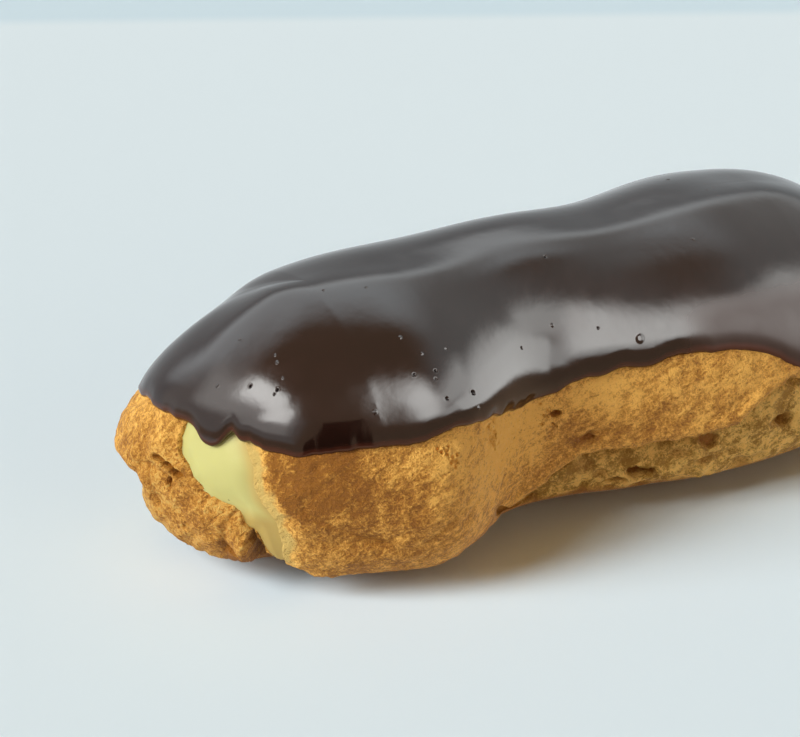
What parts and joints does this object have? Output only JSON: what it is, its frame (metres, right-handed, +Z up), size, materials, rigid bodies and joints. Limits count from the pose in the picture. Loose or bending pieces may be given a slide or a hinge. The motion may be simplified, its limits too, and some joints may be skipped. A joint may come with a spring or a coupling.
{
  "type": "chocolate eclair",
  "caption": "Filled pastry: a long puffed choux shell, torn along its sides, with pale custard showing at a burst end and a smooth dark chocolate glaze over the top.",
  "frame": {"origin": "middle of the bounding box, on the surface the eclair rests on", "axes": "+X along the eclair away from the burst end, -Y the front side, +Z up"},
  "size_m": [0.131, 0.0547, 0.045],
  "materials": {
    "choux": "dry baked crust, golden brown, paler in the tears",
    "custard": "smooth moist custard, soft sheen",
    "glaze": "set dark chocolate glaze, glossy"
  },
  "bodies": {
    "root": {"choux": "choux", "custard": "custard", "glaze": "glaze"}
  },
  "joints": []
}
